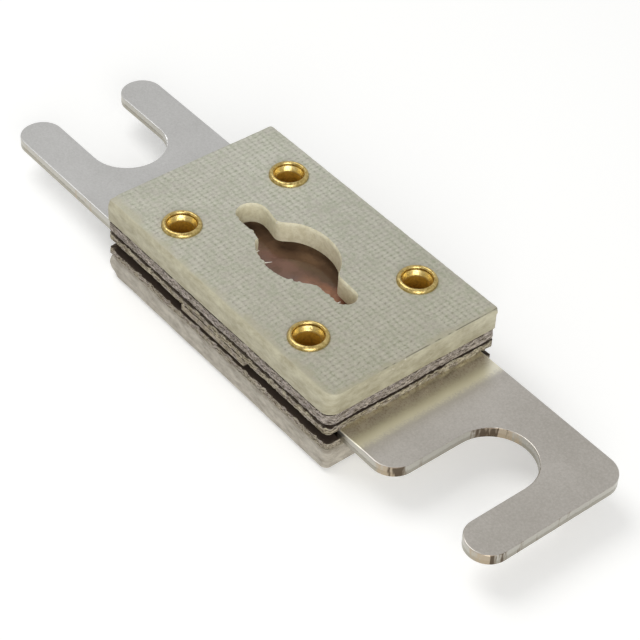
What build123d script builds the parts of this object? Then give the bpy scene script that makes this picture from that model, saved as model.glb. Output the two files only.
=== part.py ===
from build123d import *
import os

# Bolt-down strip fuse. A stamped strip, slotted at both ends for bolts, carries a flat body of
# insulating boards and sheets that four rolled eyelets hold together. All sizes are in millimetres.
# The strip runs along X with its side slot at the +X end, and the eyelets' lower rims rest on Z = 0.

# Fuse strip, stamped from one piece of tinned copper
STRIP_LENGTH = 81.0
STRIP_WIDTH = 19.0
STRIP_THICKNESS = 1.25
BOLT_SLOT_WIDTH = 9.0
BOLT_FROM_END = 9.4
TERMINAL_CORNER_RADIUS = 2.65
PRONG_TIP_FLAT = 0.1
STRIP_EDGE_ROUND = 0.12

# Neck of the strip, between a notch at the front and one at the rear
NOTCH_LENGTH = 11.0
NECK_WIDTH = 4.0
NOTCH_CORNER_RADIUS = 1.5

# Body, the stack of boards and sheets round the middle of the strip
BODY_LENGTH = 37.8
BODY_OVERHANG = 1.7
BODY_CORNER_RADIUS = 0.4
BOARD_THICKNESS = 2.55
BOARD_EDGE_ROUND = 0.2
OUTER_SHEET_THICKNESS = 1.25
WINDOW_SHEET_THICKNESS = 0.45
INNER_SHEET_THICKNESS = 0.9
LOWER_SHEET_THICKNESS = 1.0
SHEET_SETBACK = 0.05
WINDOW_SHEET_SETBACK = 0.6

# The body's front right corner is ground rounder than the others, most of all near the top
UPPER_GROUND_RADIUS = 1.4
LOWER_GROUND_RADIUS = 0.8

# Window in the upper board: an oval hole, crossed by a slot that narrows to the right
WINDOW_HOLE_LENGTH = 10.4
WINDOW_HOLE_WIDTH = 7.9
WINDOW_LEFT_REACH = 9.6
WINDOW_LEFT_WIDTH = 3.4
WINDOW_RIGHT_REACH = 9.4
WINDOW_RIGHT_WIDTH = 2.5
WINDOW_RIGHT_DROP = 0.35
WINDOW_SHOULDER_RADIUS = 1.0

# Chamber under the window, wider than it all round
CHAMBER_MARGIN = 1.5

# Fillers in the strip's two notches
SPACER_THICKNESS = 0.8
SPACER_END_CLEARANCE = 0.125
SPACER_NECK_CLEARANCE = 0.6

# Eyelets, rolled from thin brass tube
EYELET_FROM_BODY_END = 8.2
EYELET_FROM_STRIP_SIDE = 2.3
EYELET_BORE_RADIUS = 1.35
EYELET_WALL = 0.3
EYELET_HOLE_CLEARANCE = 0.05
EYELET_HEAD_RADIUS = 2.21
EYELET_HEAD_HEIGHT = 0.45
EYELET_CLINCH_RADIUS = 2.16
EYELET_CLINCH_HEIGHT = 0.4
EYELET_RIM_RADIUS = 0.36

# Levels of the stack, each piece standing on the one below it
lower_board_bottom = EYELET_CLINCH_HEIGHT
lower_sheet_bottom = lower_board_bottom + BOARD_THICKNESS
strip_bottom = lower_sheet_bottom + LOWER_SHEET_THICKNESS
strip_top = strip_bottom + STRIP_THICKNESS
window_sheet_bottom = strip_top + INNER_SHEET_THICKNESS
outer_sheet_bottom = window_sheet_bottom + WINDOW_SHEET_THICKNESS
upper_board_bottom = outer_sheet_bottom + OUTER_SHEET_THICKNESS
body_top = upper_board_bottom + BOARD_THICKNESS

# Places along and across the strip
bolt_x = STRIP_LENGTH / 2 - BOLT_FROM_END
slot_radius = BOLT_SLOT_WIDTH / 2
body_width = STRIP_WIDTH + 2 * BODY_OVERHANG
sheet_half_width = body_width / 2 - SHEET_SETBACK
eyelet_x = BODY_LENGTH / 2 - EYELET_FROM_BODY_END
eyelet_y = STRIP_WIDTH / 2 - EYELET_FROM_STRIP_SIDE
eyelet_grid = (2 * eyelet_x, 2 * eyelet_y, 2, 2)
eyelet_barrel_radius = EYELET_BORE_RADIUS + EYELET_WALL
eyelet_hole_radius = eyelet_barrel_radius + EYELET_HOLE_CLEARANCE

os.makedirs("parts", exist_ok=True)


def save(piece, name):
    """Label a finished piece and write it as a file of its own."""
    piece.label = name
    export_step(piece, f"parts/{name}.step")


def corners_at(sketch, places):
    """The outline's corners that lie nearest to the given places."""
    return [sketch.vertices().sort_by_distance((x, y, 0))[0] for x, y in places]


def plate_profile(sketch, setback, ground_radius):
    """A plate of the body, inside the body's outline by setback, with its ground front right corner
    and its four eyelet holes."""
    half_length = BODY_LENGTH / 2 - setback
    half_width = body_width / 2 - setback
    Rectangle(2 * half_length, 2 * half_width)
    fillet(corners_at(sketch, [(half_length, -half_width)]), ground_radius)
    other_corners = [(-half_length, -half_width), (-half_length, half_width), (half_length, half_width)]
    fillet(corners_at(sketch, other_corners), BODY_CORNER_RADIUS)
    with GridLocations(*eyelet_grid):
        Circle(eyelet_hole_radius, mode=Mode.SUBTRACT)


def chamber_profile():
    """The oblong opening that clears the window by the chamber's margin all round."""
    SlotOverall(
        2 * (WINDOW_LEFT_REACH + CHAMBER_MARGIN),
        WINDOW_HOLE_WIDTH + 2 * CHAMBER_MARGIN,
        mode=Mode.SUBTRACT,
    )


# Lower board of woven glass laminate, plain but for the eyelet holes
with BuildPart() as lower_board:
    with BuildSketch(Plane.XY.offset(lower_board_bottom)) as lower_board_outline:
        plate_profile(lower_board_outline, 0, LOWER_GROUND_RADIUS)
    extrude(amount=BOARD_THICKNESS)
    underside = lower_board.faces().sort_by(Axis.Z)[0]
    fillet(underside.outer_wire().edges(), BOARD_EDGE_ROUND)
save(lower_board.part, "lower_board")

# Fibre sheet between the lower board and the strip
with BuildPart() as lower_sheet:
    with BuildSketch(Plane.XY.offset(lower_sheet_bottom)) as lower_sheet_outline:
        plate_profile(lower_sheet_outline, SHEET_SETBACK, LOWER_GROUND_RADIUS)
    extrude(amount=LOWER_SHEET_THICKNESS)
save(lower_sheet.part, "lower_sheet")

# Fuse strip: an end slot at -X, a side slot at +X open to the front, and the neck between them
with BuildPart() as fuse_strip:
    with BuildSketch(Plane.XY.offset(strip_bottom)) as strip_outline:
        Rectangle(STRIP_LENGTH, STRIP_WIDTH)
        with Locations((-bolt_x, 0), (bolt_x, 0)):
            Circle(slot_radius, mode=Mode.SUBTRACT)
        with Locations((-bolt_x, 0)):
            Rectangle(STRIP_LENGTH, BOLT_SLOT_WIDTH, align=(Align.MAX, Align.CENTER), mode=Mode.SUBTRACT)
        with Locations((bolt_x, 0)):
            Rectangle(BOLT_SLOT_WIDTH, STRIP_WIDTH, align=(Align.CENTER, Align.MAX), mode=Mode.SUBTRACT)
        for side in (-1, 1):
            with Locations((0, side * NECK_WIDTH / 2)):
                inward = Align.MIN if side > 0 else Align.MAX
                Rectangle(NOTCH_LENGTH, STRIP_WIDTH, align=(Align.CENTER, inward), mode=Mode.SUBTRACT)
        with GridLocations(*eyelet_grid):
            Circle(eyelet_hole_radius, mode=Mode.SUBTRACT)

        # The two prongs of the end slot have round tips
        prong_width = (STRIP_WIDTH - BOLT_SLOT_WIDTH) / 2
        end_tips = [
            (-STRIP_LENGTH / 2, y)
            for y in (-STRIP_WIDTH / 2, -slot_radius, slot_radius, STRIP_WIDTH / 2)
        ]
        fillet(corners_at(strip_outline, end_tips), (prong_width - PRONG_TIP_FLAT) / 2)

        # So has the one prong outside the side slot
        hook_width = BOLT_FROM_END - slot_radius
        hook_tip = [(x, -STRIP_WIDTH / 2) for x in (bolt_x + slot_radius, STRIP_LENGTH / 2)]
        fillet(corners_at(strip_outline, hook_tip), (hook_width - PRONG_TIP_FLAT) / 2)

        # The side slot's other mouth corner and the strip's far corner are rounded alike
        terminal_corners = [
            (bolt_x - slot_radius, -STRIP_WIDTH / 2),
            (STRIP_LENGTH / 2, STRIP_WIDTH / 2),
        ]
        fillet(corners_at(strip_outline, terminal_corners), TERMINAL_CORNER_RADIUS)

        # Rounded inner corners of the two notches
        notch_corners = [
            (x, y)
            for x in (-NOTCH_LENGTH / 2, NOTCH_LENGTH / 2)
            for y in (-NECK_WIDTH / 2, NECK_WIDTH / 2)
        ]
        fillet(corners_at(strip_outline, notch_corners), NOTCH_CORNER_RADIUS)
    extrude(amount=STRIP_THICKNESS)

    # The punch draws the upper edge of the outline round
    upper_face = fuse_strip.faces().sort_by(Axis.Z)[-1]
    fillet(upper_face.outer_wire().edges(), STRIP_EDGE_ROUND)
save(fuse_strip.part, "fuse_strip")

# Fibre fillers in the strip's notches, hung under the inner sheet and level with the sheets' edges
spacer_inner = NECK_WIDTH / 2 + SPACER_NECK_CLEARANCE
for spacer_name, side in (("front_spacer", -1), ("rear_spacer", 1)):
    with BuildPart() as spacer:
        with BuildSketch(Plane.XY.offset(strip_top - SPACER_THICKNESS)) as spacer_outline:
            with Locations((0, side * (spacer_inner + sheet_half_width) / 2)):
                Rectangle(NOTCH_LENGTH - 2 * SPACER_END_CLEARANCE, sheet_half_width - spacer_inner)
            half_length = NOTCH_LENGTH / 2 - SPACER_END_CLEARANCE
            inner_corners = [(-half_length, side * spacer_inner), (half_length, side * spacer_inner)]
            fillet(corners_at(spacer_outline, inner_corners), NOTCH_CORNER_RADIUS)
        extrude(amount=SPACER_THICKNESS)
    save(spacer.part, spacer_name)

# Inner fibre sheet on the strip, open over the neck
with BuildPart() as upper_inner_sheet:
    with BuildSketch(Plane.XY.offset(strip_top)) as inner_sheet_outline:
        plate_profile(inner_sheet_outline, SHEET_SETBACK, LOWER_GROUND_RADIUS)
        chamber_profile()
    extrude(amount=INNER_SHEET_THICKNESS)
save(upper_inner_sheet.part, "upper_inner_sheet")

# Thin mica sheet that closes the window
with BuildPart() as window_sheet:
    with BuildSketch(Plane.XY.offset(window_sheet_bottom)) as window_sheet_outline:
        plate_profile(window_sheet_outline, WINDOW_SHEET_SETBACK, LOWER_GROUND_RADIUS)
    extrude(amount=WINDOW_SHEET_THICKNESS)
save(window_sheet.part, "window_sheet")

# Outer fibre sheet, open round the window
with BuildPart() as upper_outer_sheet:
    with BuildSketch(Plane.XY.offset(outer_sheet_bottom)) as outer_sheet_outline:
        plate_profile(outer_sheet_outline, SHEET_SETBACK, UPPER_GROUND_RADIUS)
        chamber_profile()
    extrude(amount=OUTER_SHEET_THICKNESS)
save(upper_outer_sheet.part, "upper_outer_sheet")

# Upper board with the window cut through it
with BuildPart() as upper_board:
    with BuildSketch(Plane.XY.offset(upper_board_bottom)) as upper_board_outline:
        plate_profile(upper_board_outline, 0, UPPER_GROUND_RADIUS)
    extrude(amount=BOARD_THICKNESS)
    board_top = upper_board.faces().sort_by(Axis.Z)[-1]
    fillet(board_top.outer_wire().edges(), BOARD_EDGE_ROUND)

    # The slot is drawn round its two unlike ends, and the oval hole is added to it
    left_end = (-(WINDOW_LEFT_REACH - WINDOW_LEFT_WIDTH / 2), 0)
    right_end = (WINDOW_RIGHT_REACH - WINDOW_RIGHT_WIDTH / 2, -WINDOW_RIGHT_DROP)
    with BuildSketch(Plane.XY.offset(upper_board_bottom)):
        with Locations(left_end):
            Circle(WINDOW_LEFT_WIDTH / 2)
        with Locations(right_end):
            Circle(WINDOW_RIGHT_WIDTH / 2)
        make_hull()
        Ellipse(WINDOW_HOLE_LENGTH / 2, WINDOW_HOLE_WIDTH / 2)
    extrude(amount=BOARD_THICKNESS, mode=Mode.SUBTRACT)

    # The four shoulders between the hole and the slot are worn round
    slot_share = (WINDOW_LEFT_WIDTH + WINDOW_RIGHT_WIDTH) / 2 / WINDOW_HOLE_WIDTH
    shoulder_x = WINDOW_HOLE_LENGTH / 2 * (1 - slot_share**2) ** 0.5
    shoulder_y = (WINDOW_LEFT_WIDTH + WINDOW_RIGHT_WIDTH) / 4
    window_ridges = upper_board.edges().filter_by(Axis.Z)
    shoulders = [
        window_ridges.sort_by_distance((x, y, body_top - BOARD_THICKNESS / 2))[0]
        for x in (-shoulder_x, shoulder_x)
        for y in (-shoulder_y, shoulder_y)
    ]
    fillet(shoulders, WINDOW_SHOULDER_RADIUS)
save(upper_board.part, "upper_board")

# Eyelets: a straight barrel through the stack, belled out and rolled over on both boards
head_bell = EYELET_HEAD_RADIUS - EYELET_RIM_RADIUS - EYELET_BORE_RADIUS
clinch_bell = EYELET_CLINCH_RADIUS - EYELET_RIM_RADIUS - EYELET_BORE_RADIUS
head_crest = EYELET_BORE_RADIUS + head_bell
clinch_crest = EYELET_BORE_RADIUS + clinch_bell
head_level = body_top + EYELET_HEAD_HEIGHT
clinch_level = lower_board_bottom - EYELET_CLINCH_HEIGHT

for across, row in ((-1, "front"), (1, "rear")):
    for along, column in ((-1, "left"), (1, "right")):
        x = along * eyelet_x
        y = across * eyelet_y
        section = Plane((x, y, 0), x_dir=(1, 0, 0), z_dir=(0, -1, 0))
        with BuildPart() as eyelet:
            with BuildSketch(section):
                with BuildLine():
                    Line(
                        (EYELET_BORE_RADIUS, clinch_level + clinch_bell),
                        (EYELET_BORE_RADIUS, head_level - head_bell),
                    )
                    CenterArc((head_crest, head_level - head_bell), head_bell, 180, -90)
                    CenterArc((head_crest, head_level - EYELET_RIM_RADIUS), EYELET_RIM_RADIUS, 90, -90)
                    Polyline(
                        (EYELET_HEAD_RADIUS, head_level - EYELET_RIM_RADIUS),
                        (EYELET_HEAD_RADIUS, body_top),
                        (eyelet_barrel_radius, body_top),
                        (eyelet_barrel_radius, lower_board_bottom),
                        (EYELET_CLINCH_RADIUS, lower_board_bottom),
                        (EYELET_CLINCH_RADIUS, clinch_level + EYELET_RIM_RADIUS),
                    )
                    CenterArc((clinch_crest, clinch_level + EYELET_RIM_RADIUS), EYELET_RIM_RADIUS, 0, -90)
                    CenterArc((clinch_crest, clinch_level + clinch_bell), clinch_bell, 270, -90)
                make_face()
            revolve(axis=Axis((x, y, 0), (0, 0, 1)))
        save(eyelet.part, f"eyelet_{row}_{column}")
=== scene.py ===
import math
import bpy
from mathutils import Matrix, Vector, noise


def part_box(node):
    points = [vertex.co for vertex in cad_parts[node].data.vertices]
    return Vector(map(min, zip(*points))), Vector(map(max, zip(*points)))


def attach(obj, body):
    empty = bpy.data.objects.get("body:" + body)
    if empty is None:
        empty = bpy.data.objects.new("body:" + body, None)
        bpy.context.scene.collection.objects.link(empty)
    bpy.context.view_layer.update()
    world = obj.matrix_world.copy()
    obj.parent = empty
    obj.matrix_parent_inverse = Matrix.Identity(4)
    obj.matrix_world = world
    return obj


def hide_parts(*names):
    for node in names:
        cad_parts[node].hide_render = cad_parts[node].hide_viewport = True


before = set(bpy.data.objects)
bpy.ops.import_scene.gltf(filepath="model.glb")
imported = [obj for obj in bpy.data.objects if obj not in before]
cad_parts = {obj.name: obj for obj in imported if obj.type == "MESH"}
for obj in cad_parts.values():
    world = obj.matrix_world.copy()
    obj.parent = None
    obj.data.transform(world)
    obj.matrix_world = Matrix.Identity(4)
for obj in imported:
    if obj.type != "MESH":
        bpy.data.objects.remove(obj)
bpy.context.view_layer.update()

# Lower board
# The foot of the stack is a plain board of woven glass cloth and resin, cut from thick sheet.
# Its faces show the weave. Its sawn edges are smooth and cloudy, and its left corner is chipped.
MM = 0.001
BODY_CORNER = 0.4 * MM
LOWER_GROUND_CORNER = 0.8 * MM
OUTLINE_STEP = 0.25 * MM
CORNER_STEPS = 10
DRAW_IN_ROOM = 1.6 * MM
BOARD_ROUNDING = 0.1 * MM
LOWER_WALL_STEPS = 8
EYELET_CORNERS = ("front_left", "front_right", "rear_left", "rear_right")
EYELET_HOLE = 1.7 * MM
HOLE_SIDES = 48
DRILL_LENGTH = 20 * MM
CHIP_DEPTH = 0.6 * MM
CHIP_REACH = 1.6 * MM
SAW_WAVER = 0.05 * MM
SAW_CHIPS = 0.05 * MM
LOWER_FACE = ("#9A9D88", "#A5A095", "#C9C7B9")
LOWER_EDGE = ("#81786A", "#C1BAAC")
LOWER_EDGE_DARKENING = (2.3, 2.95)
INTERSTICE = "#80846A"
BROWNING_AND_SHADE = "#E3E0D9"
MILLED_EDGE = ("#E3DCBC", "#F9F4D8")
MILLED_SHARE = 0.85
CREASE_SHADE = "#4E4A3C"
FRAYED = "#D8D2C2"

# Places and sizes that only the patterns read are in plain millimetres
WARP_PITCH = 0.58
WEFT_PITCH = 0.77
FRONT_RUB = (-8.3, -9.4)
RIGHT_RUB = (17.0, 17.9)
WINDOW_ROOM = (10.5, 5.0)
BROWNING_AND_SHADE_TOWARDS = (0.037, -0.027, 0.0)
CREASE_X = 18.74
CREASE_REAR = (-5.2, -3.8)
CREASE_RISE = (10.2, 10.3)
NICK = (18.9, -1.8, 10.2)
NICK_REACH = 1.7
NICK_RISE = (9.0, 10.2)


def linear(hex_colour):
    """An sRGB colour such as #A0B0C0 as linear red, green, blue and alpha."""
    shares = [int(hex_colour[i:i + 2], 16) / 255 for i in (1, 3, 5)]
    bent = [s / 12.92 if s <= 0.04045 else ((s + 0.055) / 1.055) ** 2.4 for s in shares]
    return (*bent, 1.0)


def add_node(owner, kind, inputs=None, **settings):
    """Add a node with its settings. An input is a plain value, or a node and its output's name."""
    tree = owner.node_tree
    node = tree.nodes.new(kind)
    for name, value in settings.items():
        setattr(node, name, value)
    sockets = {socket.identifier: socket for socket in node.inputs}
    for name, value in (inputs or {}).items():
        if isinstance(value, tuple) and isinstance(value[0], bpy.types.Node):
            outlets = {socket.identifier: socket for socket in value[0].outputs}
            tree.links.new(outlets[value[1]], sockets[name])
        else:
            sockets[name].default_value = value
    return node


def new_material(name):
    """An empty node material, with its coordinates and its place in millimetres."""
    material = bpy.data.materials.new(name)
    material.use_nodes = True
    material.node_tree.nodes.clear()
    coordinates = add_node(material, "ShaderNodeTexCoord")
    mm = add_node(material, "ShaderNodeVectorMath", {
        "Vector": (coordinates, "Object"), "Scale": 1 / MM}, operation="SCALE")
    return material, coordinates, mm


def how_level(material, coordinates):
    """How level the surface lies, from 0 on an upright wall to 1 on a flat face."""
    facing = add_node(material, "ShaderNodeSeparateXYZ", {"Vector": (coordinates, "Normal")})
    return add_node(material, "ShaderNodeMath", {"Value": (facing, "Z")}, operation="ABSOLUTE")


def plain_weave(material, mm):
    """The height of a plain weave's yarns, from 0 between them to 1 on their crowns, and how open
    the cloth is at each place, 1 where four yarns leave a gap."""
    cloth = (mm, "Vector")
    for scale, reach in ((0.45, 0.6), (1.9, 0.42)):
        kinks = add_node(material, "ShaderNodeTexNoise", {
            "Vector": (mm, "Vector"), "Scale": scale, "Detail": 2.0})
        shifted = add_node(material, "ShaderNodeVectorMath", {
            "Vector": (kinks, "Color"), "Vector_001": (reach, reach, 0.0),
            "Vector_002": cloth}, operation="MULTIPLY_ADD")
        cloth = (shifted, "Vector")
    across = add_node(material, "ShaderNodeSeparateXYZ", {"Vector": cloth})

    # Warp yarns run along Y and weft yarns along X, each over one and under one
    swing = {}
    bulge = {}
    for axis, pitch in (("X", WARP_PITCH), ("Y", WEFT_PITCH)):
        angle = add_node(material, "ShaderNodeMath", {
            "Value": (across, axis), "Value_001": math.pi / pitch}, operation="MULTIPLY")
        swing[axis] = add_node(material, "ShaderNodeMath", {
            "Value": (angle, "Value")}, operation="COSINE")
        bulge[axis] = add_node(material, "ShaderNodeMath", {
            "Value": (swing[axis], "Value")}, operation="ABSOLUTE")
    over = add_node(material, "ShaderNodeMath", {
        "Value": (swing["X"], "Value"), "Value_001": (swing["Y"], "Value")}, operation="MULTIPLY")
    warp_on_top = add_node(material, "ShaderNodeMapRange", {
        "Value": (over, "Value"), "From Min": -0.15, "From Max": 0.15})
    crowns = {}
    for lateral, along in (("X", "Y"), ("Y", "X")):
        flat = add_node(material, "ShaderNodeMath", {
            "Value": (bulge[lateral], "Value"), "Value_001": 0.6}, operation="POWER")
        crowns[lateral] = add_node(material, "ShaderNodeMath", {
            "Value": (flat, "Value"), "Value_001": (bulge[along], "Value")}, operation="MULTIPLY")
    crown = add_node(material, "ShaderNodeMix", {
        "Factor_Float": (warp_on_top, "Result"), "A_Float": (crowns["Y"], "Value"),
        "B_Float": (crowns["X"], "Value")})
    gap = add_node(material, "ShaderNodeMath", {
        "Value": (bulge["X"], "Value"), "Value_001": (bulge["Y"], "Value")}, operation="MAXIMUM")
    gap_share = add_node(material, "ShaderNodeMapRange", {
        "Value": (gap, "Value"), "From Min": 0.62, "From Max": 0.3})
    return crown, gap_share


def woven_laminate(name, face, edge, darkening_levels):
    """Glass cloth in resin. The crowns of the yarns stand out pale on the faces, over green and grey
    resin with dark gaps, and the sawn edges are a warmer, cloudy cream with no weave. The edges grow
    a little darker from the first of the two darkening levels to the second, towards the sheets."""
    material, coordinates, mm = new_material(name)
    level = how_level(material, coordinates)
    crown, gap_share = plain_weave(material, mm)
    apart = add_node(material, "ShaderNodeSeparateXYZ", {"Vector": (mm, "Vector")})
    on_face = add_node(material, "ShaderNodeMapRange", {
        "Value": (level, "Value"), "From Min": 0.55, "From Max": 0.98}, interpolation_type="SMOOTHSTEP")

    # The weave comes and goes under the resin, and is rubbed away along the front and right edges
    resin = add_node(material, "ShaderNodeTexNoise", {
        "Vector": (mm, "Vector"), "Scale": 0.33, "Detail": 4.0, "Roughness": 0.62})
    depth = add_node(material, "ShaderNodeMapRange", {
        "Value": (resin, "Fac"), "From Min": 0.36, "From Max": 0.6, "To Min": 0.25, "To Max": 1.0})
    rubs = []
    for axis, lean, (start, end) in (("Y", 3.0, FRONT_RUB), ("X", -2.0, RIGHT_RUB)):
        ragged = add_node(material, "ShaderNodeMath", {
            "Value": (resin, "Fac"), "Value_001": lean,
            "Value_002": (apart, axis)}, operation="MULTIPLY_ADD")
        near_edge = add_node(material, "ShaderNodeMapRange", {
            "Value": (ragged, "Value"), "From Min": start,
            "From Max": end}, interpolation_type="SMOOTHSTEP")
        rubs.append((near_edge, "Result"))
    rub = add_node(material, "ShaderNodeMath", {
        "Value": rubs[0], "Value_001": rubs[1]}, operation="MAXIMUM")
    kept = add_node(material, "ShaderNodeMapRange", {
        "Value": (rub, "Value"), "To Min": 1.0, "To Max": 0.25})
    shown = add_node(material, "ShaderNodeMath", {
        "Value": (depth, "Result"), "Value_001": (kept, "Result")}, operation="MULTIPLY")
    relief = add_node(material, "ShaderNodeMath", {
        "Value": (crown, "Result_Float"), "Value_001": (shown, "Value")}, operation="MULTIPLY")
    grain = add_node(material, "ShaderNodeTexNoise", {
        "Vector": (mm, "Vector"), "Scale": 4.0, "Detail": 5.0, "Roughness": 0.66})
    shade = add_node(material, "ShaderNodeMath", {
        "Value": (grain, "Fac"), "Value_001": 4.2,
        "Value_002": (relief, "Value")}, operation="MULTIPLY_ADD")
    face_share = add_node(material, "ShaderNodeMapRange", {
        "Value": (shade, "Value"), "From Min": 1.3, "From Max": 3.4})
    hue = add_node(material, "ShaderNodeTexNoise", {
        "Vector": (mm, "Vector"), "Scale": 1.3, "Detail": 3.0})
    hue_share = add_node(material, "ShaderNodeMapRange", {
        "Value": (hue, "Fac"), "From Min": 0.38, "From Max": 0.62})
    open_share = add_node(material, "ShaderNodeMath", {
        "Value": (gap_share, "Result"), "Value_001": (shown, "Value")}, operation="MULTIPLY")
    pit_share = add_node(material, "ShaderNodeMath", {
        "Value": (open_share, "Value"), "Value_001": 0.45}, operation="MULTIPLY")
    rubbed = add_node(material, "ShaderNodeMath", {
        "Value": (rub, "Value"), "Value_001": 0.6}, operation="MULTIPLY")
    face_colour = linear(face[0])
    coats = (((hue_share, "Result"), face[1]), ((face_share, "Result"), face[2]),
             ((pit_share, "Value"), INTERSTICE), ((rubbed, "Value"), edge[1]))
    for share, shade in coats:
        coat = add_node(material, "ShaderNodeMix", {
            "Factor_Float": share, "A_Color": face_colour, "B_Color": linear(shade)}, data_type="RGBA")
        face_colour = (coat, "Result_Color")

    # Sawn edges: clouds drawn out along the plies, and paler where the window is freshly milled
    plies = add_node(material, "ShaderNodeMapping", {
        "Vector": (mm, "Vector"), "Scale": (0.45, 0.45, 1.1)})
    cloud = add_node(material, "ShaderNodeTexNoise", {
        "Vector": (plies, "Vector"), "Scale": 1.0, "Detail": 7.0, "Roughness": 0.72})
    # The sawn edges grow a little darker towards the fibre sheets
    darker_share = add_node(material, "ShaderNodeMapRange", {
        "Value": (apart, "Z"), "From Min": darkening_levels[0], "From Max": darkening_levels[1], "To Max": 0.1})
    edge_tone = add_node(material, "ShaderNodeMath", {
        "Value": (cloud, "Fac"), "Value_001": (darker_share, "Result")}, operation="SUBTRACT")
    edge_share = add_node(material, "ShaderNodeMapRange", {
        "Value": (edge_tone, "Value"), "From Min": 0.3, "From Max": 0.62})
    sawn = add_node(material, "ShaderNodeMix", {
        "Factor_Float": (edge_share, "Result"), "A_Color": linear(edge[0]),
        "B_Color": linear(edge[1])}, data_type="RGBA")
    milled_share = MILLED_SHARE
    for axis, room in zip("XY", WINDOW_ROOM):
        off_middle = add_node(material, "ShaderNodeMath", {
            "Value": (apart, axis)}, operation="ABSOLUTE")
        in_window = add_node(material, "ShaderNodeMath", {
            "Value": (off_middle, "Value"), "Value_001": room}, operation="LESS_THAN")
        product = add_node(material, "ShaderNodeMath", {
            "Value": (in_window, "Value"), "Value_001": milled_share}, operation="MULTIPLY")
        milled_share = (product, "Value")
    crazing = add_node(material, "ShaderNodeTexNoise", {
        "Vector": (mm, "Vector"), "Scale": 1.5, "Detail": 6.0, "Roughness": 0.75})
    crazed_share = add_node(material, "ShaderNodeMapRange", {
        "Value": (crazing, "Fac"), "From Min": 0.4, "From Max": 0.6})
    milled_colour = add_node(material, "ShaderNodeMix", {
        "Factor_Float": (crazed_share, "Result"), "A_Color": linear(MILLED_EDGE[0]),
        "B_Color": linear(MILLED_EDGE[1])}, data_type="RGBA")
    edge_colour = add_node(material, "ShaderNodeMix", {
        "Factor_Float": milled_share, "A_Color": (sawn, "Result_Color"),
        "B_Color": (milled_colour, "Result_Color")}, data_type="RGBA")
    # The faces grow browner and darker towards the front right: partly a brown tint of the resin,
    # partly painted shade
    towards = add_node(material, "ShaderNodeVectorMath", {
        "Vector": (mm, "Vector"), "Vector_001": BROWNING_AND_SHADE_TOWARDS}, operation="DOT_PRODUCT")
    browning_and_shade_share = add_node(material, "ShaderNodeMapRange", {
        "Value": (towards, "Value"), "From Min": -0.75, "From Max": 0.85})
    browned_and_shaded = add_node(material, "ShaderNodeMix", {
        "Factor_Float": (browning_and_shade_share, "Result"), "A_Color": face_colour,
        "B_Color": linear(BROWNING_AND_SHADE)}, data_type="RGBA", blend_type="MULTIPLY")
    colour = add_node(material, "ShaderNodeMix", {
        "Factor_Float": (on_face, "Result"), "A_Color": (edge_colour, "Result_Color"),
        "B_Color": (browned_and_shaded, "Result_Color")}, data_type="RGBA")

    # A crease runs brokenly along the top of the right end, drawn as a dark line of painted shade, with
    # pale frayed nicks beside it
    off_crease = add_node(material, "ShaderNodeMath", {
        "Value": (apart, "X"), "Value_001": CREASE_X}, operation="SUBTRACT")
    off_crease = add_node(material, "ShaderNodeMath", {
        "Value": (off_crease, "Value")}, operation="ABSOLUTE")
    at_crease = add_node(material, "ShaderNodeMapRange", {
        "Value": (off_crease, "Value"), "From Min": 0.09, "From Max": 0.03, "To Max": 0.7})
    under_top = add_node(material, "ShaderNodeMapRange", {
        "Value": (apart, "Z"), "From Min": CREASE_RISE[0], "From Max": CREASE_RISE[1]})
    rear = add_node(material, "ShaderNodeMapRange", {
        "Value": (apart, "Y"), "From Min": CREASE_REAR[0], "From Max": CREASE_REAR[1]})
    breaks = add_node(material, "ShaderNodeTexNoise", {
        "Vector": (mm, "Vector"), "Scale": 0.7, "Detail": 4.0})
    broken = add_node(material, "ShaderNodeMapRange", {
        "Value": (breaks, "Fac"), "From Min": 0.46, "From Max": 0.56})
    crease_shade_share = (at_crease, "Result")
    for share in (under_top, rear, broken):
        product = add_node(material, "ShaderNodeMath", {
            "Value": crease_shade_share, "Value_001": (share, "Result")}, operation="MULTIPLY")
        crease_shade_share = (product, "Value")
    crease_shaded = add_node(material, "ShaderNodeMix", {
        "Factor_Float": crease_shade_share, "A_Color": (colour, "Result_Color"),
        "B_Color": linear(CREASE_SHADE)}, data_type="RGBA")
    fray = add_node(material, "ShaderNodeTexNoise", {
        "Vector": (mm, "Vector"), "Scale": 2.4, "Detail": 3.0})
    fray_share = add_node(material, "ShaderNodeMapRange", {
        "Value": (fray, "Fac"), "From Min": 0.6, "From Max": 0.68})
    off_face = add_node(material, "ShaderNodeMapRange", {
        "Value": (level, "Value"), "From Min": 0.95, "From Max": 0.6})
    near_top = add_node(material, "ShaderNodeMapRange", {
        "Value": (apart, "Z"), "From Min": NICK_RISE[0], "From Max": NICK_RISE[1]})
    from_nick = add_node(material, "ShaderNodeVectorMath", {
        "Vector": (mm, "Vector"), "Vector_001": NICK}, operation="DISTANCE")
    at_end = add_node(material, "ShaderNodeMath", {
        "Value": (from_nick, "Value"), "Value_001": NICK_REACH}, operation="LESS_THAN")
    frayed_share = (at_end, "Value")
    for share in (fray_share, off_face, near_top):
        product = add_node(material, "ShaderNodeMath", {
            "Value": frayed_share, "Value_001": (share, "Result")}, operation="MULTIPLY")
        frayed_share = (product, "Value")
    final = add_node(material, "ShaderNodeMix", {
        "Factor_Float": frayed_share, "A_Color": (crease_shaded, "Result_Color"),
        "B_Color": linear(FRAYED)}, data_type="RGBA")
    weave_height = add_node(material, "ShaderNodeMath", {
        "Value": (relief, "Value"), "Value_001": (on_face, "Result")}, operation="MULTIPLY")
    weave_bump = add_node(material, "ShaderNodeBump", {
        "Height": (weave_height, "Value"), "Strength": 0.4, "Distance": 0.04 * MM})
    grain_bump = add_node(material, "ShaderNodeBump", {
        "Height": (grain, "Fac"), "Strength": 0.5, "Distance": 0.05 * MM,
        "Normal": (weave_bump, "Normal")})
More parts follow.
